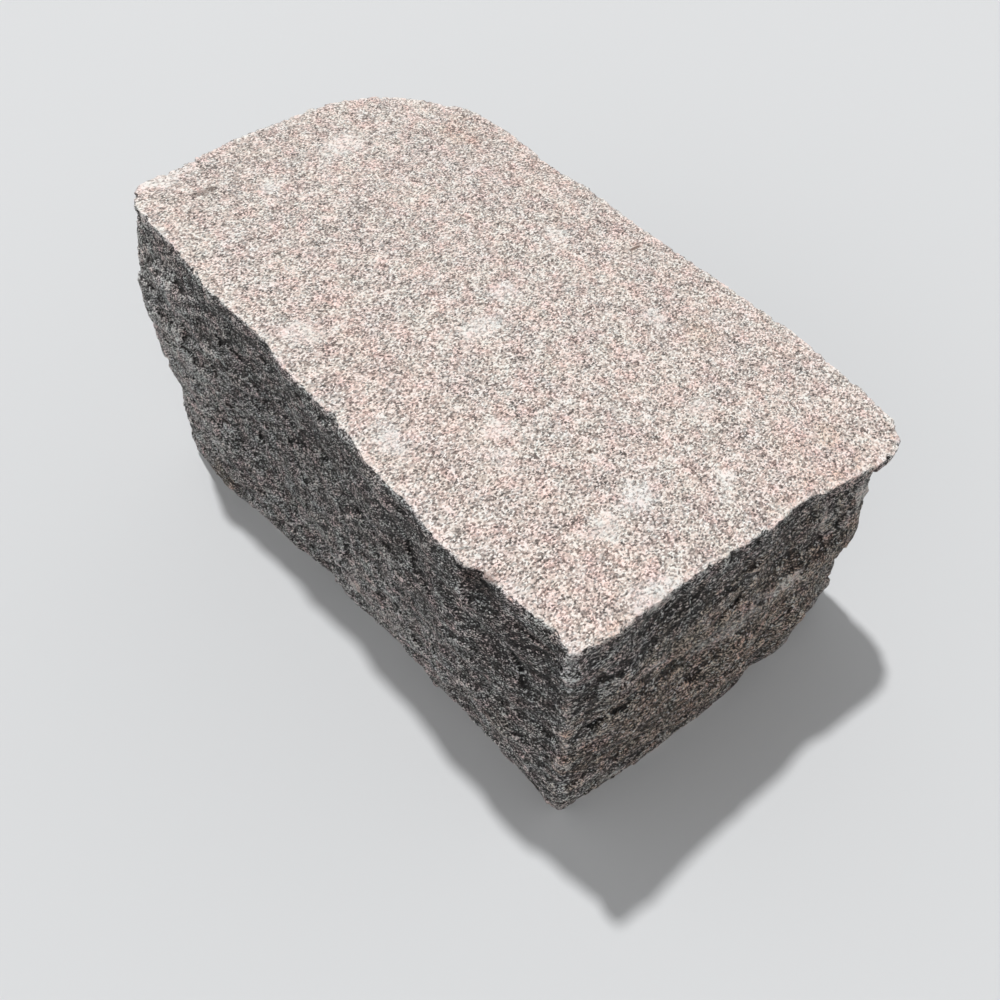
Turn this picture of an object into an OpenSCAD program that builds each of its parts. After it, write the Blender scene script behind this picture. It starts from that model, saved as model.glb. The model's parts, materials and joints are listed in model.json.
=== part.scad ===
// Belgian block: one piece of granite, split on every side, with a flat top and a flat bed.
// X runs along the block to its near end, -Y is the front long side, Z is up.
// The origin is the middle of the block's bounding box, on the bed.

/* [Plan] */
// Length of the block, midway between its long sides
length = 279; // [240:1:320]
// Width of the top at the near end
near_width = 160; // [130:1:190]
// Width of the top at the far end
far_width = 168; // [130:1:190]
// How far the back long side runs past the front one at the near end
near_skew = 10; // [0:1:20]
// How far the back long side runs past the front one at the far end
far_skew = 20; // [0:1:30]

/* [Top] */
// Height at the middle of the top
height = 129; // [100:1:160]
// Angle at which the top falls towards the near end
fall_along = 4.5; // [0:0.5:7]
// Angle at which the top falls towards the back
fall_across = 5.5; // [0:0.5:7]

/* [Corners] */
// Radius of the front corner at the near end
front_near_round = 2; // [2:0.5:15]
// Radius of the back corner at the near end
back_near_round = 12; // [2:0.5:20]
// Radius of the front corner at the far end
front_far_round = 11; // [2:0.5:20]
// Length of the back long side that is lost where the back far corner broke off
break_along = 45; // [25:1:60]
// Width of the far end that is lost there
break_across = 45; // [25:1:60]
// Radius of the two corners that the break leaves
break_round = 8; // [2:0.5:12]

/* [Split sides] */
// How far the foot of the front side stands out at the far end
foot_out = 12; // [0:0.5:16]
// Depth of one step of the lists of chips, bosses and hollows
step_depth = 1; // [0:0.1:1.4]
// How far the sides are undercut where they meet the bed
undercut = 3; // [0:0.5:4]
// Height at which that undercut ends
undercut_height = 9; // [5:0.5:14]
// How far the broad waves of the split stand in or out
wave_depth = 2; // [0:0.1:3]
// Distance from one of those waves to the next
wave_pitch = 30; // [20:1:50]
// Angle at which the sheets of the stone fall towards the near end
sheet_fall = 25; // [0:1:40]
// How far the ledges that the split left along the sheets stand in or out
ledge_depth = 1.8; // [0:0.1:2.5]
// Distance from one ledge to the next, across the sheets
ledge_pitch = 12; // [10:1:25]
// Distance along the sheets over which a ledge runs out
ledge_length = 45; // [25:1:90]
// Unit in which the lengths and heights of the bosses and hollows are listed
boss_length = 10; // [6:0.5:14]

/* [Flake scar] */
// Length of the scar under the lip of the back corner at the near end
scar_length = 90; // [50:1:110]
// How far down the side the scar reaches
scar_drop = 60; // [40:1:80]
// How deep the scar is just under the lip
scar_depth = 9; // [0:0.5:12]
// Thickness of the lip over the scar
lip = 11; // [5:0.5:15]

/* [Hidden] */

granite_grey = [0.60, 0.56, 0.54];

// Distance between points round the block, and the facets in each rounded corner
facet = 6.5;
corner_facets = 4;

// Levels of the rings of points, as shares of the height, close together at both edges.
// The first and last lie beyond the bed and the top, which then cut the sides off flat.
levels = [-0.03, 0.025, 0.06, for (i = [0 : 18]) 0.1 + 0.043 * i, 0.91, 0.935, 0.96, 0.98, 1.03];

// Corners of the top in plan, anticlockwise from the front near one, which side 0 starts from:
// side 0 is the near end, 1 the back, 2 the break, 3 the far end and 4 the front.
front_near = [(length - near_skew) / 2, -near_width / 2];
back_near = [(length + near_skew) / 2, near_width / 2];
back_far = [-(length + far_skew) / 2, far_width / 2];
front_far = [-(length - far_skew) / 2, -far_width / 2];
break_back = back_far + break_along * unit(back_near - back_far);
break_end = back_far + break_across * unit(front_far - back_far);
top_corners = [front_near, back_near, break_back, break_end, front_far];
radii = [front_near_round, back_near_round, break_round, break_round, front_far_round];

// How many steps each corner of the foot stands from the same corner of the top, to which the
// front far corner adds foot_out
foot_moves = [[3, 0], [-5, 2], [0, 2], [-2, 0], [-4, 0]];
foot_corners = top_corners + step_depth * foot_moves + [[0, 0], [0, 0], [0, 0], [0, 0], [0, -foot_out]];

// Wear and chips along the top edge. Each pair is a place, counted in sides round the block,
// and how many steps the edge stands out there.
top_edge = [
    [0, 0], [0.12, 1.5], [0.2, -0.5], [0.3, -2], [0.55, -2], [0.69, -4.5], [0.75, -2.5], [0.94, -1],
    [1, 3], [1.05, 8.5], [1.12, 11], [1.25, 12], [1.32, 10.5], [1.5, 6], [1.6, 2.5], [1.72, 1.5],
    [1.8, -3], [1.9, -2.5], [1.97, -5],
    [2, -7.5], [2.13, -2.5], [2.25, -1], [2.38, -2.5], [2.48, 1], [2.75, -1], [2.95, -3.5],
    [3, -5], [3.08, -1], [3.17, 2.5], [3.4, 3], [3.5, 4.5], [3.7, 3], [3.83, 1], [3.92, 1.2],
    [3.97, 1.5], [4, 1], [4.04, 3], [4.14, 3], [4.25, 5.5], [4.39, 2], [4.43, 5], [4.55, 3], [4.65, 6],
    [4.72, 5], [4.78, 6.5], [4.835, 5.5], [4.85, 2.5], [4.89, 2.5], [4.93, -0.5], [4.97, -2], [5, 0]
];

// The same along the foot, just above the undercut
foot_edge = [
    [0, 2], [0.06, 3], [0.25, 7], [0.46, 8.5], [0.58, 8.5], [0.65, 5], [0.75, 8.5], [0.86, 3.5],
    [1, 1.5], [1.2, 5], [1.45, 7], [1.6, 3], [1.8, 1], [2, -2], [2.4, 3], [3, 0], [3.3, 5], [3.6, 3],
    [4, 0], [4.05, 4], [4.17, 6], [4.25, 3.5], [4.33, 3], [4.46, -2], [4.5, 1.5], [4.6, -0.5],
    [4.78, -0.5], [4.9, 1], [5, 2]
];

// Bosses and hollows left on the sides by splitting. Each row is a place counted in sides, a
// share of the height, half the length and half the height in boss lengths, and the steps out.
bosses = [
    [0.35, 0.9, 6, 0.9, -2], [0.35, 0.35, 5, 4, 2.5], [0.7, 0.4, 4.5, 4, 2], [1.2, 0.3, 5, 4, -4],
    [1.55, 0.5, 8, 5, 4], [2.5, 0.6, 3.5, 4, 2], [3.5, 0.45, 6, 5, 4], [4.02, 0.64, 6.5, 5.3, 6],
    [4.45, 0.55, 7, 5, -3], [4.8, 0.35, 5, 4, 1.5]
];

// Middle of the flake scar, counted in sides round the block
scar_place = 0.86;

function unit(v) = v / norm(v);
function outward(along) = [along[1], -along[0]];
function mix(a, b, share) = a * (1 - share) + b * share;
function clamp(value) = min(max(value, 0), 1);
function smooth(share) = share * share * (3 - 2 * share);
function wrap(list, i) = list[i % len(list)];
function sum(list) = list * [for (i = list) 1];

// Points round a plan: each row is the place in plan, the outward normal and the place counted in sides
function walk(corners, cells) = [
    for (k = [0 : len(corners) - 1])
        let (
            before = unit(corners[k] - wrap(corners, k + len(corners) - 1)),
            after = unit(wrap(corners, k + 1) - corners[k]),
            turn = acos(before * after),
            start = atan2(outward(before)[1], outward(before)[0]),
            centre = corners[k] - radii[k] * (tan(turn / 2) * before + outward(before))
        )
        each [
            for (i = [0 : corner_facets])
                let (
                    a = start + turn * i / corner_facets,
                    normal = [cos(a), sin(a)],
                    first = k - lost(corners, k + len(corners) - 1, 1),
                    place = mix(first, k + lost(corners, k, 0), i / corner_facets)
                )
                [centre + radii[k] * normal, normal, place],
            for (i = [1 : cells[k] - 1])
                let (u = mix(lost(corners, k, 0), 1 - lost(corners, k, 1), i / cells[k]))
                [mix(corners[k], wrap(corners, k + 1), u), outward(after), k + u]
        ]
];

// The share of a side that rounding takes from its start, or from its end where end is 1
function lost(corners, side, end) =
    let (
        corner = wrap(corners, side + end),
        before = unit(corner - wrap(corners, side + end + len(corners) - 1)),
        after = unit(wrap(corners, side + end + 1) - corner)
    )
    wrap(radii, side + end) * tan(acos(before * after) / 2)
        / norm(wrap(corners, side + 1) - wrap(corners, side));

cells = [
    for (k = [0 : len(top_corners) - 1]) round(norm(wrap(top_corners, k + 1) - top_corners[k]) / facet)
];
top_walk = walk(top_corners, cells);
foot_walk = walk(foot_corners, cells);
count = len(top_walk);

// Distance along the top edge from the first point to each point
run = [for (i = 0, s = 0; i <= count; s = s + norm(wrap(top_walk, i + 1)[0] - wrap(top_walk, i)[0]),
            i = i + 1) s];
girth = run[count];

// Distance along the top edge to a place counted in sides, and from there to a point the short way
function run_to(place) = lookup(place, [for (i = [0 : count - 1]) [top_walk[i][2], run[i]]]);
function apart(s, place) = let (d = abs(s - run_to(place))) min(d, girth - d);

// A lattice of random heights that closes round the block: how many columns it has, the pitch of
// its rows, and the heights, row by row
function random_lattice(column_pitch, row_pitch, reach, seed) =
    let (columns = round(girth / column_pitch), rows = ceil(reach / row_pitch) + 2)
    [columns, row_pitch, rands(-1, 1, columns * rows, seed)];

// The height of a lattice at a distance round the block and a distance across its rows
function lattice_height(lattice, s, across) =
    let (
        columns = lattice[0],
        heights = lattice[2],
        x = s / girth * columns,
        y = max(across, 0) / lattice[1],
        i = floor(x),
        j = floor(y),
        low = j * columns,
        high = low + columns,
        a = mix(heights[low + i % columns], heights[low + (i + 1) % columns], smooth(x - i)),
        b = mix(heights[high + i % columns], heights[high + (i + 1) % columns], smooth(x - i))
    )
    mix(a, b, smooth(y - j));

// Waves of two sizes
broad = random_lattice(wave_pitch, wave_pitch, height, 11);
narrow = random_lattice(wave_pitch * 0.45, wave_pitch * 0.45, height, 12);
function waves(s, z) = wave_depth * (lattice_height(broad, s, z) + 0.45 * lattice_height(narrow, s, z));

// Ledges along the sheets, from nothing at both edges to full depth a little way in
sheet_reach = length + far_skew + height;
ledge_lattice = random_lattice(ledge_length, ledge_pitch, sheet_reach, 13);
function ledges(s, x, z) =
    let (
        across = (x + sheet_reach / 2) * sin(sheet_fall) + z * cos(sheet_fall),
        inside = smooth(clamp(min(z, height - z) / ledge_pitch))
    )
    ledge_depth * inside * lattice_height(ledge_lattice, s, across);

// What the bosses and hollows add up to at one point
function relief(s, share) = step_depth * sum([
    for (b = bosses)
        let (
            across = apart(s, b[0]) / b[2] / boss_length,
            up = (share - b[1]) * height / b[3] / boss_length
        )
        b[4] * pow(clamp(1 - across * across - up * up), 2)
]);

// Depth of the flake scar: full depth just under the lip, running out at its foot and its ends
function scar(s, down) =
    let (
        aside = apart(s, scar_place) / (scar_length / 2),
        under = down < lip ? smooth(clamp(2 * down / lip - 1)) : (scar_drop - down) / (scar_drop - lip)
    )
    scar_depth * clamp(1 - aside * aside) * clamp(under);

// How far point i, at x along the block, stands out of the straight side at one level
function stand_out(i, x, level) =
    let (
        share = clamp(level),
        z = share * height,
        place = top_walk[i][2],
        tuck = clamp(1 - z / undercut_height)
    )
    step_depth * mix(lookup(place, foot_edge), lookup(place, top_edge), share)
        + waves(run[i], z) * sin(180 * share)
        + ledges(run[i], x, z)
        + relief(run[i], share)
        - undercut * tuck * tuck
        - scar(run[i], height - z);

rings = [
    for (level = levels) [
        for (i = [0 : count - 1])
            let (p = mix(foot_walk[i][0], top_walk[i][0], clamp(level)))
            p + stand_out(i, p[0], level) * top_walk[i][1]
    ]
];

// Middle of the box round all the points, which becomes the origin
all_x = [for (ring = rings) each [for (p = ring) p[0]]];
all_y = [for (ring = rings) each [for (p = ring) p[1]]];
middle = [min(all_x) + max(all_x), min(all_y) + max(all_y)] / 2;

function top_height(p) = height - p[0] * tan(fall_along) - p[1] * tan(fall_across) / cos(fall_along);

// The split sides, reaching a little past the bed and the top
module split_sides() {
    points = [
        for (j = [0 : len(levels) - 1]) for (p = rings[j])
            let (q = p - middle) [q[0], q[1], levels[j] * top_height(q)]
    ];
    last = (len(levels) - 1) * count;
    faces = [
        [for (i = [0 : count - 1]) i],
        [for (i = [count - 1 : -1 : 0]) last + i],
        for (j = [0 : len(levels) - 2]) for (i = [0 : count - 1])
            let (
                a = j * count + i,
                b = j * count + (i + 1) % count,
                c = b + count,
                d = a + count
            )
            each ((i + j) % 2 == 0 ? [[a, c, b], [a, d, c]] : [[a, d, b], [b, d, c]])
    ];
    polyhedron(points, faces, convexity = 6);
}

module granite_block() {
    beyond = 2 * (length + far_width);
    color(granite_grey)
    difference() {
        split_sides();
        translate([0, 0, height]) rotate([-fall_across, fall_along, 0])
            translate([-beyond / 2, -beyond / 2, 0]) cube([beyond, beyond, height]);
        translate([-beyond / 2, -beyond / 2, -height]) cube([beyond, beyond, height]);
    }
}

granite_block();
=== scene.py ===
"""A granite belgian block, dressed around its CAD solid, on a plain pale floor.

The stone is a copy of the solid. Geometry Nodes knock chips off its edges, a voxel remesh makes
its mesh fine and even, and a second tree works the split and the grain of the stone into it.
Blender's lengths are metres. Chips, relief, grain and marks are given in millimetres.
"""
import json
import math

import bmesh
import bpy
from mathutils import Euler, Matrix, Vector


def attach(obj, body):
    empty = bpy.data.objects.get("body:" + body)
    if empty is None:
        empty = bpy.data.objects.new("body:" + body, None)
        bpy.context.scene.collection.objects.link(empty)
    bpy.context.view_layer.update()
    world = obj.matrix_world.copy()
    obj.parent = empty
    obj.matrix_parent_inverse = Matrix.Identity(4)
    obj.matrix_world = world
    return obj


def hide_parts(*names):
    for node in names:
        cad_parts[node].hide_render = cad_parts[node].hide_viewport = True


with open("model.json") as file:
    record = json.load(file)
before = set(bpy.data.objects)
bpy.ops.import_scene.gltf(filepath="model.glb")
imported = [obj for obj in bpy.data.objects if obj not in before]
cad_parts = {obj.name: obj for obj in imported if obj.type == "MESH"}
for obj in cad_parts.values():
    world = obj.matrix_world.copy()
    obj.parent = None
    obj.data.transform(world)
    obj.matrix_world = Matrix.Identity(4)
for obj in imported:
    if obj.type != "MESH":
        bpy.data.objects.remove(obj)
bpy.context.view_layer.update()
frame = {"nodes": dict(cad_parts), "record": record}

MM = 0.001

# The top of the block is a plane through this point, in millimetres, and faces this way
TOP_MOUNT = next(m for m in frame["record"]["mounts"] if m["name"] == "top")
TOP_POINT = [metres / MM for metres in TOP_MOUNT["pos_m"]]
TOP_AXIS = TOP_MOUNT["axis"]

# The stone splits along sheets that run across the block and fall towards its near end. Its grain
# is shorter through the sheets than along them, and a little longer across the block.
SHEET_FALL = math.radians(25)
SHEET_FLATNESS = 0.6
SHEET_STRETCH = 1.2

# Noise starts well outside the stone, because its cells line up at its origin and would show there
NOISE_START = (417.3, 389.1, 533.7)

# Noise with small, rough blotches inside its larger ones
ROUGH_NOISE = {"detail": 3, "rough": 0.6}

# The middle of the colours that noise and cells draw
MIDDLE = (0.5, 0.5, 0.5)


# --- Nodes -----------------------------------------------------------------------------------

class Value:
    """A socket of a node tree. Python's operators on it add Math nodes."""

    def __init__(self, net, socket):
        self.net = net
        self.socket = socket

    def other(self, name):
        """Another output of the same node."""
        return Value(self.net, pick(self.socket.node.outputs, name))

    def __add__(self, other):
        return self.net.math("ADD", self, other)

    def __sub__(self, other):
        return self.net.math("SUBTRACT", self, other)

    def __mul__(self, other):
        return self.net.math("MULTIPLY", self, other)

    def __truediv__(self, other):
        return self.net.math("DIVIDE", self, other)

    def __rsub__(self, other):
        return self.net.math("SUBTRACT", other, self)

    def __rtruediv__(self, other):
        return self.net.math("DIVIDE", other, self)

    __radd__ = __add__
    __rmul__ = __mul__


def pick(sockets, key):
    """The socket in use that has this name, or this place in the row."""
    used = [s for s in sockets if s.enabled]
    if isinstance(key, int):
        return used[key]
    return next(s for s in used if s.name == key)


class Net:
    """Adds nodes to one tree, for a material or for Geometry Nodes."""

    def __init__(self, tree):
        self.tree = tree

    def node(self, kind, settings=None, inputs=None):
        """Adds a node: its settings first, then the values or links of its sockets."""
        node = self.tree.nodes.new(kind)
        for name, value in (settings or {}).items():
            if name == "stops":
                set_stops(node.color_ramp, value)
            else:
                setattr(node, name, value)
        for key, value in (inputs or {}).items():
            socket = pick(node.inputs, key)
            if isinstance(value, Value):
                self.tree.links.new(value.socket, socket)
            else:
                socket.default_value = value
        return Value(self, pick(node.outputs, 0)) if node.outputs else node

    def math(self, operation, *values):
        return self.node("ShaderNodeMath", {"operation": operation}, dict(enumerate(values)))

    def vector(self, operation, *values):
        return self.node("ShaderNodeVectorMath", {"operation": operation}, dict(enumerate(values)))

    def scale(self, vector, factor):
        return self.node("ShaderNodeVectorMath", {"operation": "SCALE"},
                         {0: vector, "Scale": factor})

    def join(self, x, y, z):
        return self.node("ShaderNodeCombineXYZ", {}, {"X": x, "Y": y, "Z": z})

    def xyz(self, vector):
        """The three numbers of a vector or a colour."""
        x = self.node("ShaderNodeSeparateXYZ", {}, {0: vector})
        return x, x.other("Y"), x.other("Z")

    def turn(self, vector, angle):
        """Turns a place about the Y axis, which runs across the block."""
        return self.node("ShaderNodeVectorRotate", {"rotation_type": "Y_AXIS"},
                         {"Vector": vector, "Angle": angle})

    def below_top(self, place):
        """How deep a place lies below the plane of the top, in millimetres."""
        return self.vector("DOT_PRODUCT", self.vector("SUBTRACT", TOP_POINT, place), TOP_AXIS)

    def step(self, value, start, full):
        """Rises smoothly from 0 where the value is at its start to 1 where it is full."""
        return self.node("ShaderNodeMapRange", {"interpolation_type": "SMOOTHSTEP"},
                         {"Value": value, "From Min": start, "From Max": full})

    def noise(self, place, size, detail=2.0, rough=0.5, warp=0.0):
        """Cloudy noise from 0 to 1 whose blotches are about this size."""
        return self.node("ShaderNodeTexNoise", {}, {
            "Vector": self.vector("ADD", place, NOISE_START), "Scale": 1 / size, "Detail": detail,
            "Roughness": rough, "Distortion": warp})

    def ripple(self, place, size, **looks):
        """The same noise from -0.5 to 0.5."""
        return self.noise(place, size, **looks) - 0.5

    def cells(self, place, size):
        """Random cells of about this size: how far the middle of the cell is, with its random
        colour and its position as other outputs."""
        return self.node("ShaderNodeTexVoronoi", {}, {"Vector": place, "Scale": 1 / size})

    def facets(self, place, cells):
        """Height of flat faces, one to a cell, each tilted its own way."""
        tilt = self.vector("SUBTRACT", cells.other("Color"), MIDDLE)
        reach = self.vector("SUBTRACT", place, cells.other("Position"))
        return self.vector("DOT_PRODUCT", tilt, reach)

    def ramp(self, value, stops):
        return self.node("ShaderNodeValToRGB", {"stops": stops}, {0: value})

    def mix(self, factor, a, b, blend="MIX"):
        """Mixes two colours."""
        return self.node("ShaderNodeMix", {"data_type": "RGBA", "blend_type": blend},
                         {"Factor": factor, "A": a, "B": b})

    def blend(self, factor, a, b):
        """The number a where the factor is 0, and b where it is 1."""
        return a + factor * (b - a)


def set_stops(ramp, stops):
    while len(ramp.elements) > 1:
        ramp.elements.remove(ramp.elements[-1])
    ramp.elements[0].position = stops[0][0]
    for place, _ in stops[1:]:
        ramp.elements.new(place)
    for element, (_, colour) in zip(ramp.elements, stops):
        element.color = (*colour, 1)


def weighed(weights, **parts):
    """The sum of the parts, each times its weight."""
    first, *others = [part * weights[name] for name, part in parts.items()]
    return sum(others, first)


SOCKET_KINDS = {int: "Int", float: "Float", bpy.types.Object: "Object",
                bpy.types.Material: "Material"}


class Tree(Net):
    """A Geometry Nodes tree with named inputs, ending in Realize Instances and Set Material."""

    def __init__(self, name, inputs):
        super().__init__(bpy.data.node_groups.new(name, "GeometryNodeTree"))
        sockets = self.tree.interface
        sockets.new_socket("Geometry", in_out="INPUT", socket_type="NodeSocketGeometry")
        self.defaults = inputs
        for label, value in inputs.items():
            kind = "NodeSocket" + SOCKET_KINDS[type(value)]
            sockets.new_socket(label, in_out="INPUT", socket_type=kind)
        sockets.new_socket("Geometry", in_out="OUTPUT", socket_type="NodeSocketGeometry")
        self.inlet = self.tree.nodes.new("NodeGroupInput")

    def given(self, label):
        """The tree's input of this name."""
        return Value(self, self.inlet.outputs[label])

    def shape_of(self, label):
        """The mesh of the object that is given to the tree under this label."""
        info = self.node("GeometryNodeObjectInfo", {}, {"Object": self.given(label)})
        return info.other("Geometry")

    def random(self, seed, low, high):
        """A number or a vector between these two, drawn for each point."""
        kind = "FLOAT_VECTOR" if isinstance(low, tuple) else "FLOAT"
        return self.node("FunctionNodeRandomValue", {"data_type": kind},
                         {"Min": low, "Max": high, "Seed": seed})

    def store(self, geometry, name, value):
        """Stores a number on each point of the mesh, for the finish to read."""
        return self.node("GeometryNodeStoreNamedAttribute",
                         {"data_type": "FLOAT", "domain": "POINT"},
                         {"Geometry": geometry, "Name": name, "Value": value})

    def end(self, geometry):
        whole = self.node("GeometryNodeRealizeInstances", {}, {"Geometry": geometry})
        whole = self.node("GeometryNodeSetMaterial", {},
                          {"Geometry": whole, "Material": self.given("Material")})
        self.node("NodeGroupOutput", {}, {"Geometry": whole})

    def put_on(self, piece):
        """Adds the tree to a piece as a modifier, with its inputs set by identifier."""
        modifier = piece.modifiers.new(self.tree.name, "NODES")
        modifier.node_group = self.tree
        for item in self.tree.interface.items_tree:
            if item.in_out == "INPUT" and item.name in self.defaults:
                modifier[item.identifier] = self.defaults[item.name]


# --- The stone's shape -----------------------------------------------------------------------

# How fine the stone's mesh is, how many triangles it may keep, and how far it turns at an edge that
# is shaded crisp
VOXEL = 0.9 * MM
MOST_TRIANGLES = 192000
CRISP_EDGE = math.radians(34)

# Points nearer than this are one, and rounds smaller than the next are taken for sharp edges
SAME_POINT = 0.001 * MM
SMALL_ROUND = 2 * MM

# At an arris the stone turns by more than this. A face counts as level where its normal has more
# than FLAT_ENOUGH of its length along Z, and an edge as upright where it has more than UPRIGHT.
SHARP_EDGE = math.radians(50)
FLAT_ENOUGH = 0.97
UPRIGHT = 0.7

# Larger bites: the middle of each, its reach along X, Y and Z, and how it is turned, in degrees
BITES = [
    ((95, -89, 127), (6, 8, 9), (20, 10, 30)),
    ((150, -62, 133), (12, 20, 11), (10, 0, 0)),
    ((108, -90, 125), (11, 9, 8), (0, 25, 10)),
    ((124, -88, 124), (9, 9, 7), (30, 0, 15)),
]
# Subdivisions of the balls that cut the bites and the small chips
BALL_ROUNDNESS = 2

# Where the worn top and the bed start and where they are whole: how squarely a face points their
# way, and how far it lies below the top's plane or above the bed
TOP_FACING = (0.68, 0.82)
TOP_DEPTH = (3.0, 1.0)
BED_FACING = (-0.6, -0.85)
BED_HEIGHT = (1.5, 0.6)
# The noise at which a nick in an arris starts, and at which it has its full depth
NICK_RANGE = (0.5, 0.72)
# How much the ridges of the split waver, and how many passes of smoothing find the even surface
# that a place stands out of
WAVER = 0.3
EVENING = 12


def make_stone(material):
    """The block of stone as one plain mesh, which stands for the CAD solid."""
    mesh = frame["nodes"]["granite_block"].data.copy()
    mesh.materials.clear()
    weld(mesh)
    block = add_object("split_granite_block", mesh)
    arrises = add_object("arrises", arris_lines(mesh))
    bites = add_object("bites", bite_shapes())
    chipped_edges(material, arrises, bites).put_on(block)
    remesh = block.modifiers.new("fine mesh", "REMESH")
    remesh.mode = "VOXEL"
    remesh.voxel_size = VOXEL
    split_relief(material, arrises).put_on(block)
    apply_modifiers(block)
    triangles = sum(len(p.vertices) - 2 for p in block.data.polygons)
    thin = block.modifiers.new("thin", "DECIMATE")
    thin.ratio = min(1.0, MOST_TRIANGLES / triangles)
    apply_modifiers(block)
    for helper in (arrises, bites):
        bpy.data.objects.remove(helper)
    block.data.shade_smooth()
    block.data.set_sharp_from_angle(angle=CRISP_EDGE)
    return block


def add_object(name, data):
    thing = bpy.data.objects.new(name, data)
    bpy.context.scene.collection.objects.link(thing)
    return thing


def weld(mesh):
    """Joins the loose triangles of a CAD mesh."""
    shape = bmesh.new()
    shape.from_mesh(mesh)
    bmesh.ops.remove_doubles(shape, verts=shape.verts, dist=SAME_POINT)
    shape.to_mesh(mesh)
    shape.free()


def arris_lines(mesh):
    """The arrises of the block, each point with the way out of the stone there."""
    shape = bmesh.new()
    shape.from_mesh(mesh)
    bmesh.ops.remove_doubles(shape, verts=shape.verts, dist=SMALL_ROUND)
    shape.normal_update()
    outward = shape.verts.layers.float_vector.new("outward")
    for vert in shape.verts:
        vert[outward] = vert.normal
    others = [e for e in shape.edges if not is_arris(e)]
    bmesh.ops.delete(shape, geom=shape.faces, context="FACES_ONLY")
    bmesh.ops.delete(shape, geom=others, context="EDGES")
    loose = [v for v in shape.verts if not v.link_edges]
    bmesh.ops.delete(shape, geom=loose, context="VERTS")
    return finished(shape, "arrises")


def is_arris(edge):
    """A sharp edge of the top or the bed, or an upright corner, but not the edge under a lip."""
    along = (edge.verts[1].co - edge.verts[0].co).normalized()
    level = any(abs(face.normal.z) > FLAT_ENOUGH for face in edge.link_faces)
    return edge.calc_face_angle(0) > SHARP_EDGE and (level or abs(along.z) > UPRIGHT)


def bite_shapes():
    """Rough balls that stand where the larger bites are taken out of the arrises."""
    shape = bmesh.new()
    for centre, reach, turn in BITES:
        spot = Matrix.LocRotScale(Vector(centre) * MM, Euler([math.radians(a) for a in turn]),
                                  Vector(reach) * MM)
        bmesh.ops.create_icosphere(shape, subdivisions=BALL_ROUNDNESS, radius=1, matrix=spot)
    return finished(shape, "bites")


def finished(shape, name):
    """A mesh of this name that holds the shape."""
    mesh = bpy.data.meshes.new(name)
    shape.to_mesh(mesh)
    shape.free()
    return mesh


def apply_modifiers(piece):
    """Replaces a piece's mesh by what its modifiers make of it."""
    graph = bpy.context.evaluated_depsgraph_get()
    old = piece.data
    piece.data = bpy.data.meshes.new_from_object(piece.evaluated_get(graph),
                                                 preserve_all_data_layers=True, depsgraph=graph)
    piece.modifiers.clear()
    bpy.data.meshes.remove(old)


def chipped_edges(stone, arrises, bites):
    """Tree that knocks small chips off all along the arrises, and takes the larger bites out."""
    net = Tree("chipped edges", {
        "Arrises": arrises, "Bites": bites, "Spacing": 4.5, "Small Chip": 2.5, "Large Chip": 12.0,
        "Shallow": 0.05, "Deep": 0.8, "Lean": 0.4, "Seed": 4, "Material": stone})
    lines = net.node("GeometryNodeMeshToCurve", {}, {"Mesh": net.shape_of("Arrises")})
    places = net.node("GeometryNodeCurveToPoints", {"mode": "LENGTH"},
                      {"Curve": lines, "Length": net.given("Spacing") * MM})
    seed = net.given("Seed")
    radius = net.random(seed, net.given("Small Chip"), net.given("Large Chip"))
    depth = net.random(seed + 1, net.given("Shallow"), net.given("Deep"))
    outward = net.node("GeometryNodeInputNamedAttribute", {"data_type": "FLOAT_VECTOR"},
                       {"Name": "outward"})
    lean = net.scale(net.random(seed + 2, (-1, -1, -1), (1, 1, 1)), net.given("Lean"))
    outward = net.vector("NORMALIZE", net.vector("ADD", outward, lean))
    placed = net.node("GeometryNodeSetPosition", {}, {
        "Geometry": places, "Offset": net.scale(outward, (radius - depth) * MM)})
    ball = net.node("GeometryNodeMeshIcoSphere", {},
                    {"Radius": MM, "Subdivisions": BALL_ROUNDNESS})
    turned = net.random(seed + 3, (-math.pi,) * 3, (math.pi,) * 3)
    balls = net.node("GeometryNodeInstanceOnPoints", {}, {
        "Points": placed, "Instance": ball, "Scale": radius, "Rotation": turned})
    balls = net.node("GeometryNodeRealizeInstances", {}, {"Geometry": balls})
    whole = net.given("Geometry")
    for bitten in (balls, net.shape_of("Bites")):
        whole = net.node("GeometryNodeMeshBoolean",
                         {"operation": "DIFFERENCE", "solver": "MANIFOLD"},
                         {"Mesh 1": whole, "Mesh 2": bitten})
    net.end(whole)
    return net


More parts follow.
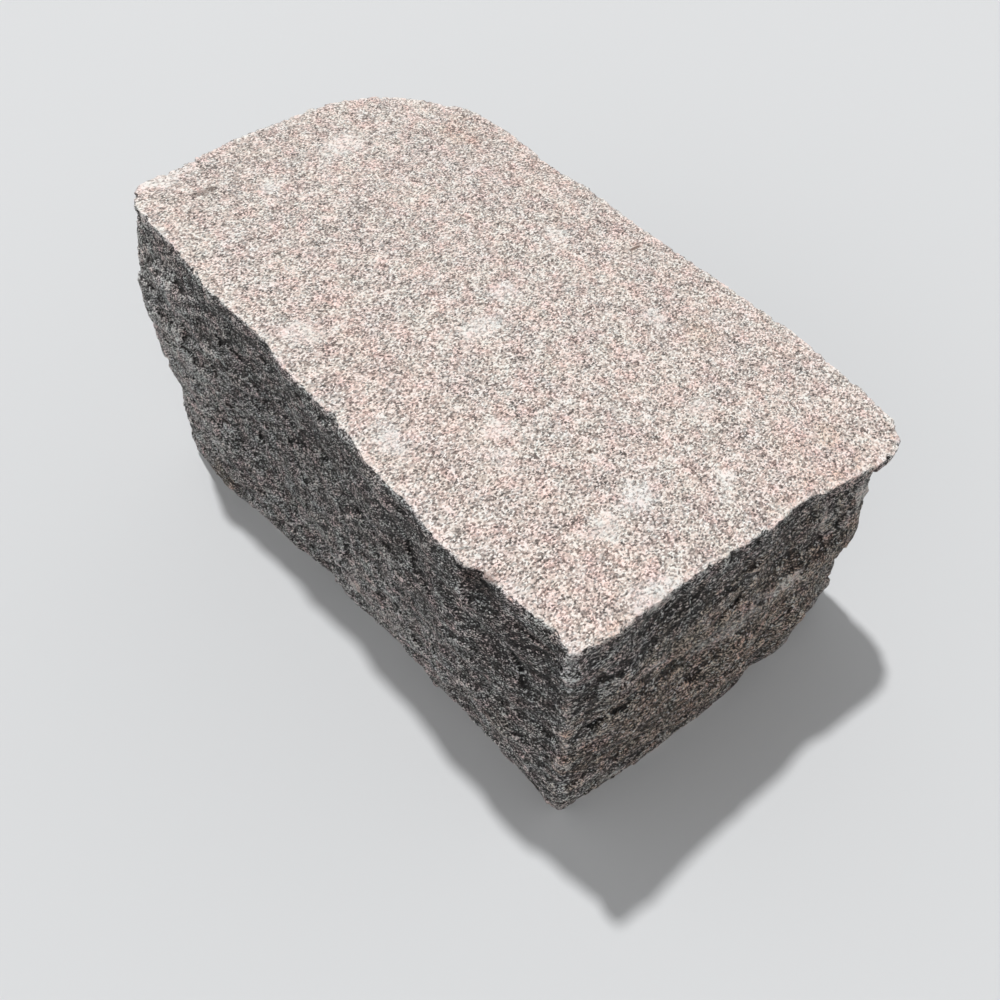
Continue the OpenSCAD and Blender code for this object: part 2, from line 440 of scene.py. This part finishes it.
def split_relief(stone, arrises):
    """Tree that works the relief of split granite into a fine mesh. It also stores what the finish
    needs: how much a place is split and not worn, how far the arris is, and how far the place
    stands out of its surroundings."""
    net = Tree("split relief", {
        "Arrises": arrises, "Grain Size": 2.2, "Grain Depth": 1.5, "Facet Size": 12.0,
        "Facet Tilt": 0.2, "Ridge Length": 30.0, "Ridge Width": 75.0, "Ridge Spacing": 8.0,
        "Ridge Depth": 2.8, "Streak Length": 20.0, "Streak Spacing": 3.4, "Streak Depth": 1.7,
        "Firm Edge": 5.0, "Top Grain": 0.35, "Top Wave": 0.3, "Wave Size": 8.0, "Top Wear": 0.1,
        "Nick Size": 3.6, "Nick Depth": 1.6, "Nick Reach": 2.6, "Material": stone})
    place = net.scale(net.node("GeometryNodeInputPosition"), 1 / MM)
    normal = net.node("GeometryNodeInputNormal")
    on_top = (net.step(net.vector("DOT_PRODUCT", normal, TOP_AXIS), *TOP_FACING)
              * net.step(net.below_top(place), *TOP_DEPTH))
    on_bed = net.step(net.xyz(normal)[2], *BED_FACING) * net.step(net.xyz(place)[2], *BED_HEIGHT)
    on_side = (1 - on_top) * (1 - on_bed)
    near = net.node("GeometryNodeProximity", {"target_element": "EDGES"},
                    {0: net.shape_of("Arrises")}).other("Distance") / MM

    sheets = net.turn(place, SHEET_FALL)
    grain = net.ripple(net.vector("DIVIDE", sheets, (1.0, 1.0, SHEET_FLATNESS)),
                       net.given("Grain Size"), **ROUGH_NOISE)
    ridge = drawn_out(net, sheets, "Ridge Length", "Ridge Width", "Ridge Spacing", 1.5)
    streak = drawn_out(net, sheets, "Streak Length", "Streak Length", "Streak Spacing", 2)
    facet = net.facets(place, net.cells(place, net.given("Facet Size")))
    inward = net.step(near, 0.0, net.given("Firm Edge"))
    side = (grain * net.given("Grain Depth") + streak * net.given("Streak Depth")
            + (ridge * net.given("Ridge Depth") + facet * net.given("Facet Tilt")) * inward)
    wave = net.ripple(place, net.given("Wave Size"), detail=1)
    top = grain * net.given("Top Grain") + wave * net.given("Top Wave") - net.given("Top Wear")
    nick = net.step(net.noise(place, net.given("Nick Size")), *NICK_RANGE)
    nick = nick * net.given("Nick Depth") * net.step(near, net.given("Nick Reach"), 0.0)
    lift = side * on_side + top * (1 - on_side) * (1 - on_bed) - nick
    moved = net.node("GeometryNodeSetPosition", {}, {
        "Geometry": net.given("Geometry"), "Offset": net.scale(normal, lift * MM)})

    # The finish paints shade into hollows and light onto ridges by how far a place stands out
    for name, value in (("split", on_side), ("arris", near), ("proud", standing_out(net))):
        moved = net.store(moved, name, value)
    x, y, z = net.xyz(net.node("GeometryNodeInputPosition"))
    level = net.math("MAXIMUM", z, 0.0) * (1 - net.math("GREATER_THAN", on_bed, 0.5))
    net.end(net.node("GeometryNodeSetPosition", {}, {
        "Geometry": moved, "Position": net.join(x, y, level)}))
    return net


def drawn_out(net, sheets, length, width, spacing, detail):
    """Noise drawn out along the sheets, to the sizes given to the tree under these labels."""
    x, y, z = net.xyz(sheets)
    place = net.join(x / net.given(length), y / net.given(width), z / net.given(spacing))
    return net.ripple(place, 1.0, detail=detail, warp=WAVER)


def standing_out(net):
    """How far each place stands out of its surroundings, in millimetres."""
    place = net.node("GeometryNodeInputPosition")
    around = net.node("GeometryNodeBlurAttribute", {"data_type": "FLOAT_VECTOR"},
                      {"Value": place, "Iterations": EVENING})
    away = net.vector("SUBTRACT", place, around)
    return net.vector("DOT_PRODUCT", net.node("GeometryNodeInputNormal"), away) / MM


# --- The granite's finish --------------------------------------------------------------------

# Widths of the crystals on worn and on freshly split stone, of the flakes of mica and of the
# crystals that glint, which are painted glints: crystals coloured white. The last two are shifted,
# so that they don't follow the other crystals.
WORN_CRYSTAL = 0.68
SPLIT_CRYSTAL = 0.6
MICA_FLAKE = 0.75
GLINT_CRYSTAL = 0.7
MICA_SHIFT = (31.0, 7.0, 13.0)
GLINT_SHIFT = (5.0, 43.0, 29.0)

# Sizes of everything uneven in the stone, from its fine grain to its bands, and how many times
# longer the bands are along, across and through the sheets
FINE_SIZE = 0.9
CRUMB_SIZE = 1.1
BEND_SIZE = 1.3
SPECKLE_SIZE = 1.4
TEAR_SIZE = 3.0
CLOUD_SIZE = 5.0
RAG_SIZE = 6.0
PINK_SIZE = 7.0
WARMTH_SIZE = 11.0
PATCH_SIZE = 11.0
BAND_SIZE = 12.0
BAND_STRETCH = (2.0, 4.0, 1.4)

# How much the crystals are bent, how much the border of the split crumbles, and how ragged the
# edges of marks and bruises are
BENDING = 0.35
CRUMBLING = 0.9
RAGGEDNESS = 1.6
TEARING = 2.4

# Where each of these starts and where it is whole. Split stone, speckles, mica and glints follow
# noise or a draw, and a mark follows how far it is from its middle to its reach. Crushed stone with
# its painted highlight and the painted highlight on the rim of the top follow the distance to the
# arris. Painted light that grows towards the foot, leaving painted shade under the arris, follows
# the depth below the top.
SPLIT_RANGE = (0.35, 0.65)
SPECKLE_RANGE = (0.46, 0.56)
MICA_RANGE = (0.80, 0.85)
GLINT_RANGE = (0.83, 0.88)
MARK_RANGE = (1.1, 0.5)
CRUSHED_AND_LIT_REACH = (2.5, 0.5)
LIT_RIM_REACH = (3.0, 0.5)
FOOT_PAINTED_LIGHT_DEPTH = (10.0, 90.0)
# How many millimetres the border of the crushed stone and its painted highlight moves for each 1
# of raggedness
CRUSHED_AND_LIT_TEAR = 4

# How strongly these show on worn and on split stone
CRUSHED_AND_LIT_STRENGTH = (0.4, 0.08)
MICA_STRENGTH = (0.6, 0.8)
GLINT_STRENGTH = (0.3, 0.9)
PINK_STRENGTH = (1.0, 1.4)
# How strongly a bruise, and the crushed stone with its painted highlight, show between their
# speckles and on them
BRUISE_AND_EDGE_LIGHT_STRENGTH = (0.25, 1.0)

# How much each of these lightens the crystals, where 0 is the darkest tone and 1 the lightest, and
# how much darker the split is as a whole, partly as painted shade of the shaded sides. On the
# split, how far a place stands out, its depth below the top and the lighter and darker areas add
# painted light and shade.
WORN_WEIGHTS = {"crystal": 1.0, "cloud": 0.6, "fine": 0.3, "patch": 0.32, "rim": 0.14}
SPLIT_WEIGHTS = {"crystal": 1.35, "cloud": 0.65, "fine": 0.7, "band": 0.6, "proud": 0.8,
                 "foot": 0.08, "pale": 0.18, "dark": -0.13}
SPLIT_DARKENING_AND_SHADE = 0.355
# Places that lie deeper in the split than this get no darker painted shade
DEEPEST = -0.5
# How much each of these makes a crystal glint, a painted highlight in its colour
GLINT_WEIGHTS = {"crystal": 1.0, "cloud": 0.4, "split": -0.07}

# How far the finest relief stands out on worn and on split stone, how much of it is fine grain and
# how much falls off from the middle of a crystal, and how steep the crystals' broken faces are
WORN_RELIEF = 0.2
SPLIT_RELIEF = 0.9
WORN_GRAIN = {"fine": 0.5, "crystal": -0.6}
SPLIT_GRAIN = {"fine": 0.6, "crystal": -0.5}
FACE_RELIEF = 2.2

# How rough the darkest and the lightest crystals are, and how much the stone shines
ROUGHNESS = (0.6, 0.85)
SHINE = 0.3

# Tones of the crystals from the darkest to the lightest, on worn and on freshly split stone. The
# split's tones are darker partly because fresh split stone is darker, and partly as painted shade
# of the shaded sides and their pits.
WORN_TONES = [
    (0.0, (0.13, 0.108, 0.10)), (0.18, (0.33, 0.272, 0.246)), (0.42, (0.60, 0.504, 0.46)),
    (0.66, (0.85, 0.74, 0.685)), (0.85, (0.965, 0.898, 0.852)), (1.0, (1.0, 0.965, 0.935))]
SPLIT_AND_SHADED_TONES = [
    (0.0, (0.010, 0.010, 0.010)), (0.25, (0.030, 0.028, 0.028)), (0.45, (0.075, 0.071, 0.070)),
    (0.62, (0.165, 0.158, 0.156)), (0.8, (0.42, 0.41, 0.405)), (0.96, (1.0, 0.99, 0.985))]
# Colours of mica, of the painted glints, and of bruises and the painted highlight along the arrises
MICA = (0.05, 0.046, 0.043, 1)
GLINT = (1.0, 0.99, 0.98, 1)
BRUISE_AND_EDGE_LIGHT = (1.0, 0.975, 0.95, 1)

# Tints that the tones are multiplied by: from grey to pink and from plain to warm all over the
# stone, and those of rust, blushes and stains
PINKS = [(0.34, (0.972, 1.006, 1.006)), (0.47, (1.0, 0.997, 0.997)), (0.56, (1.03, 0.98, 0.975)),
         (0.68, (1.07, 0.948, 0.948))]
WARMTHS = [(0.35, (1.0, 1.0, 1.0)), (0.65, (1.01, 0.995, 0.965))]
RUST = (0.965, 0.83, 0.715, 1)
BLUSH = (1.01, 0.972, 0.965, 1)
STAIN = (0.25, 0.2, 0.18, 1)

# Marks on the stone: the middle of each, its reach along X, Y and Z, and its strength.
# Bruises on the top and its arrises are crushed and white, and come first. Then come white marks
# and streaks on the sides.
BRUISES = [
    ((8, -10, 129), (6, 13, 9), 0.7), ((-1, 11, 128), (6, 8, 9), 0.7),
    ((52, -37, 128), (6, 6, 9), 0.8), ((113, 17, 118), (3.5, 3.5, 9), 0.9),
    ((117, 13, 118), (3.5, 3, 9), 0.9), ((121, 9, 118), (3, 3, 9), 0.7),
    ((-18, 52, 125), (5, 6, 9), 0.7), ((-113, 11, 137), (7, 13, 9), 0.8),
    ((-104, -32, 140), (4, 9, 9), 0.7), ((102, -16, 122), (7, 9, 9), 0.8),
    ((105, -35, 124), (6, 7, 9), 0.6), ((133, -39, 122), (6, 12, 9), 0.7),
    ((85, 33, 119), (5, 6, 9), 0.5), ((36, -72, 133), (9, 7, 9), 0.6),
    ((41, 53, 121), (6, 5, 9), 0.6), ((62, -44, 128), (5, 6, 9), 0.5),
    ((-25, -68, 138), (8, 8, 9), 0.6), ((-132, -70, 145), (9, 14, 6), 0.85),
    ((81, -18, 124), (2, 2, 4), 0.8),
    ((12, -85, 23), (5, 8, 7), 0.9), ((140, -39, 82), (8, 5, 4), 1.0),
    ((141, 33, 64), (8, 12, 3), 1.0), ((143, -51, 8), (6, 4, 3), 0.8),
    ((139, 75, 84), (5, 4, 9), 1.0), ((137, 54, 86), (4, 2, 13), 0.6),
    ((140, 5, 66), (8, 30, 5), 0.4)]
# Rusty patches
RUSTS = [
    ((121, 64, 113), (7, 6, 6), 0.45), ((-97, 63, 131), (12, 14, 9), 0.35),
    ((57, 63, 118), (12, 8, 9), 0.35), ((-87, -95, 13), (12, 8, 9), 0.8),
    ((104, -82, 36), (9, 8, 9), 0.5), ((150, 0, 55), (25, 120, 70), 1.0),
    ((136, -58, 121), (6, 10, 5), 0.3)]
# Lighter areas of the split sides: painted light where they catch more light, and partly paler
# stone
LIT_AND_PALE_PATCHES = [
    ((-108, -90, 85), (38, 25, 80), 1.4), ((141, -12, 75), (10, 30, 16), 0.9),
    ((142, 30, 55), (10, 14, 14), 0.8), ((35, -85, 35), (60, 15, 25), 0.7),
    ((138, 70, 88), (14, 28, 34), 0.5)]
# Darker areas of the split sides: painted shade high on the sides, under the arris
PAINTED_SHADE_PATCHES = [
    ((118, -80, 88), (34, 20, 34), 1.0), ((142, -5, 110), (14, 60, 10), 0.7),
    ((20, -82, 100), (75, 15, 22), 0.6)]
# Pinker areas of the top, and small dark stains
BLUSHES = [
    ((132, 50, 113), (28, 30, 20), 1.0), ((115, -55, 124), (35, 25, 20), 0.8),
    ((10, -55, 132), (70, 20, 20), 0.7), ((-60, 70, 128), (40, 20, 20), 0.5)]
STAINS = [
    ((78, -17, 124), (1.4, 1.4, 3), 1.0), ((6, 76, 121), (1.2, 5, 5), 1.0),
    ((-114, -56, 143), (2, 7, 5), 0.7), ((95, -82, 124), (7, 9, 7), 0.8)]


class Granite(Net):
    """The nodes of the stone's finish, and the values that its parts share. The value split is 1
    on freshly split stone and 0 on worn stone."""

    def __init__(self, tree):
        super().__init__(tree)
        self.place = self.scale(self.node("ShaderNodeTexCoord").other("Object"), 1 / MM)
        self.sheets = self.vector("DIVIDE", self.turn(self.place, SHEET_FALL),
                                  (1.0, SHEET_STRETCH, SHEET_FLATNESS))
        crumbled = self.ripple(self.place, CRUMB_SIZE) * CRUMBLING
        self.split = self.step(self.stored("split") + crumbled, *SPLIT_RANGE)
        self.arris = self.stored("arris")
        self.ragged = self.ripple(self.place, RAG_SIZE, detail=3) * RAGGEDNESS
        self.cloud = self.ripple(self.sheets, CLOUD_SIZE, **ROUGH_NOISE)
        self.fine = self.ripple(self.sheets, FINE_SIZE)
        bend = self.noise(self.sheets, BEND_SIZE, detail=1).other("Color")
        bend = self.scale(self.vector("SUBTRACT", bend, MIDDLE), BENDING)
        self.bent = self.vector("ADD", self.sheets, bend)
        self.worn_crystal = self.cells(self.bent, WORN_CRYSTAL)
        self.split_crystal = self.cells(self.bent, SPLIT_CRYSTAL)

    def stored(self, name):
        return self.node("ShaderNodeAttribute", {"attribute_name": name}).other("Fac")

    def drawn(self, cells, draw=0):
        """A number from 0 to 1 that each cell draws, by its first draw or a later one."""
        return self.xyz(cells.other("Color"))[draw]

    def marks(self, rows, ragged):
        """How strongly the listed marks show at each place, from 0 to 1."""
        total = 0.0
        for centre, reach, strength in rows:
            away = self.vector("DIVIDE", self.vector("SUBTRACT", self.place, centre), reach)
            mark = self.step(self.vector("LENGTH", away) + ragged, *MARK_RANGE) * strength
            total = self.math("MAXIMUM", mark, total)
        return total

    def bruise_and_edge_light(self):
        """How strongly bruises, and the crushed stone along the arrises with its painted highlight,
        show.
        """
        torn = self.ripple(self.place, TEAR_SIZE, **ROUGH_NOISE) * TEARING
        crushed_and_lit = self.step(self.arris + self.ragged * CRUSHED_AND_LIT_TEAR, *CRUSHED_AND_LIT_REACH)
        crushed_and_lit = crushed_and_lit * self.blend(self.split, *CRUSHED_AND_LIT_STRENGTH)
        speckle = self.step(self.noise(self.sheets, SPECKLE_SIZE), *SPECKLE_RANGE)
        bruise_and_edge_light = self.math("MAXIMUM", self.marks(BRUISES, torn), crushed_and_lit)
        return bruise_and_edge_light * self.blend(speckle, *BRUISE_AND_EDGE_LIGHT_STRENGTH)

    def worn_shade(self):
        """How light each crystal of the worn stone is, from 0 to 1, with a painted highlight along
        its arrises.
        """
        return weighed(
            WORN_WEIGHTS, crystal=self.drawn(self.worn_crystal), cloud=self.cloud, fine=self.fine,
            patch=self.ripple(self.place, PATCH_SIZE, **ROUGH_NOISE),
            rim=self.step(self.arris, *LIT_RIM_REACH))

    def split_shade(self):
        """How light each crystal of the split stone is, from 0 to 1. It holds painted shade in
        hollows and under the arris, and painted light on ridges, towards the foot and where the
        sides catch more light.
        """
        band = self.ripple(self.vector("DIVIDE", self.sheets, BAND_STRETCH), BAND_SIZE)
        return weighed(
            SPLIT_WEIGHTS, crystal=self.drawn(self.split_crystal), cloud=self.cloud, fine=self.fine,
            band=band, proud=self.math("MAXIMUM", self.stored("proud"), DEEPEST),
            foot=self.step(self.below_top(self.place), *FOOT_PAINTED_LIGHT_DEPTH),
            pale=self.marks(LIT_AND_PALE_PATCHES, self.ragged),
            dark=self.marks(PAINTED_SHADE_PATCHES, self.ragged)) - SPLIT_DARKENING_AND_SHADE

    def tones(self, split_shade):
        """The colours of the crystals, with mica, rust, painted glints, bruises and the painted
        highlight along the arrises.
        """
        tone = self.mix(self.split, self.ramp(self.worn_shade(), WORN_TONES),
                        self.ramp(split_shade, SPLIT_AND_SHADED_TONES))
        flake = self.cells(self.vector("ADD", self.bent, MICA_SHIFT), MICA_FLAKE)
        mica = self.step(self.drawn(flake, 1), *MICA_RANGE)
        tone = self.mix(mica * self.blend(self.split, *MICA_STRENGTH), tone, MICA)
        tone = self.mix(self.marks(RUSTS, self.ragged), tone, RUST, "MULTIPLY")
        glint = self.cells(self.vector("ADD", self.bent, GLINT_SHIFT), GLINT_CRYSTAL)
        bright = self.step(weighed(GLINT_WEIGHTS, crystal=self.drawn(glint, 1), cloud=self.cloud,
                                   split=self.split), *GLINT_RANGE)
        tone = self.mix(bright * self.blend(self.split, *GLINT_STRENGTH), tone, GLINT)
        return self.mix(self.bruise_and_edge_light(), tone, BRUISE_AND_EDGE_LIGHT)

    def colour(self, split_shade):
        """The crystals' tones, tinted pink and warm in places, blushed and stained."""
        pink = self.node("ShaderNodeGamma", {}, {
            "Color": self.ramp(self.noise(self.place, PINK_SIZE, **ROUGH_NOISE), PINKS),
            "Gamma": self.blend(self.split, *PINK_STRENGTH)})
        colour = self.mix(1.0, self.tones(split_shade), pink, "MULTIPLY")
        colour = self.mix(self.marks(BLUSHES, self.ragged), colour, BLUSH, "MULTIPLY")
        warm = self.ramp(self.noise(self.place, WARMTH_SIZE), WARMTHS)
        colour = self.mix(1.0, colour, warm, "MULTIPLY")
        return self.mix(self.marks(STAINS, self.ragged), colour, STAIN, "MULTIPLY")

    def bump(self):
        """The finest grain, and the flat faces along which the crystals of the split broke."""
        worn = weighed(WORN_GRAIN, fine=self.fine, crystal=self.worn_crystal) * WORN_RELIEF
        split = weighed(SPLIT_GRAIN, fine=self.fine, crystal=self.split_crystal) * SPLIT_RELIEF
        split = split + self.facets(self.bent, self.split_crystal) * FACE_RELIEF
        return self.node("ShaderNodeBump", {}, {
            "Height": self.blend(self.split, worn, split), "Distance": MM})


def granite():
    """Grey and pink granite: small crystals of feldspar, quartz and mica in flattened sheets."""
    material, tree = new_material("granite")
    net = Granite(tree)
    split_shade = net.split_shade()
    shader = net.node("ShaderNodeBsdfPrincipled", {}, {
        "Base Color": net.colour(split_shade), "Roughness": net.blend(split_shade, *ROUGHNESS),
        "Specular IOR Level": SHINE, "Normal": net.bump()})
    net.node("ShaderNodeOutputMaterial", {}, {"Surface": shader})
    return material


def new_material(name):
    material = bpy.data.materials.new(name)
    material.use_nodes = True
    material.node_tree.nodes.clear()
    return material, material.node_tree


# --- The stage -------------------------------------------------------------------------------

# Where the camera stands in metres, how it is turned, its lens and sensor in millimetres, and how
# near it sees
CAMERA_PLACE = (0.2309, -0.1845, 0.395)
CAMERA_TILT = math.radians(36.94)
CAMERA_TURN = math.radians(50.37)
LENS = 36.0
SENSOR = 36.0
NEAREST = 0.01
# The way to the sun, its strength, and how wide it looks
SUN_DIRECTION = (-0.398, 0.099, 1.0)
SUN_STRENGTH = 2.0
SUN_ANGLE = math.radians(3)
# Strength of the sky at the horizon and overhead, and how much stronger it is in front of the
# block, from where that starts to where it is whole
SKY_LOW = 1.1
SKY_HIGH = 0.1
FRONT_BOOST = 0.5
FRONT_RANGE = (-0.2, -1.0)
WHITE = (1.0, 1.0, 1.0, 1)
# The floor as it lights the block and as it is seen
FLOOR_LIT = (0.3, 0.3, 0.3, 1)
FLOOR_SEEN = (0.72, 0.73, 0.74, 1)
FLOOR_ROUGHNESS = 0.9
FLOOR_WIDTH = 60.0  # metres, so that its edge lies far off


def add_camera():
    lens = bpy.data.cameras.new("camera")
    lens.lens = LENS
    lens.sensor_width = SENSOR
    lens.clip_start = NEAREST
    camera = add_object("camera", lens)
    camera.location = CAMERA_PLACE
    camera.rotation_euler = (CAMERA_TILT, 0, CAMERA_TURN)
    bpy.context.scene.camera = camera


def add_sun():
    sun = bpy.data.lights.new("key", "SUN")
    sun.energy = SUN_STRENGTH
    sun.angle = SUN_ANGLE
    key = add_object("key", sun)
    key.rotation_euler = Vector(SUN_DIRECTION).to_track_quat("Z", "Y").to_euler()


def add_sky():
    """A sky that lights the sides more than the top, and that looks plain white."""
    world = bpy.data.worlds.new("studio")
    world.use_nodes = True
    world.node_tree.nodes.clear()
    net = Net(world.node_tree)
    _, back, up = net.xyz(net.node("ShaderNodeTexCoord").other("Generated"))
    strength = SKY_LOW + net.step(up, 0.0, 1.0) * (SKY_HIGH - SKY_LOW)
    strength = strength * (1 + net.step(back, *FRONT_RANGE) * FRONT_BOOST)
    seen = net.node("ShaderNodeLightPath").other("Is Camera Ray")
    sky = net.node("ShaderNodeBackground", {}, {
        "Color": WHITE, "Strength": strength * (1 - seen) + seen})
    net.node("ShaderNodeOutputWorld", {}, {"Surface": sky})
    bpy.context.scene.world = world


def add_floor():
    half = FLOOR_WIDTH / 2
    mesh = bpy.data.meshes.new("floor")
    mesh.from_pydata([(-half, -half, 0), (half, -half, 0), (half, half, 0), (-half, half, 0)],
                     [], [(0, 1, 2, 3)])
    mesh.materials.append(pale_floor())
    floor = add_object("floor", mesh)


def pale_floor():
    """Pale to the eye, but throwing little light back up at the block's sides."""
    material, tree = new_material("pale floor")
    net = Net(tree)
    ray = net.node("ShaderNodeLightPath")
    seen = net.math("MAXIMUM", ray.other("Is Camera Ray"), ray.other("Is Glossy Ray"))
    shader = net.node("ShaderNodeBsdfPrincipled", {}, {
        "Base Color": net.mix(seen, FLOOR_LIT, FLOOR_SEEN), "Roughness": FLOOR_ROUGHNESS})
    net.node("ShaderNodeOutputMaterial", {}, {"Surface": shader})
    return material


add_camera()
add_sun()
add_sky()
add_floor()
block = make_stone(granite())
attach(block, "root")
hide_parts("granite_block")

view = bpy.context.scene.view_settings
view.view_transform = "Standard"
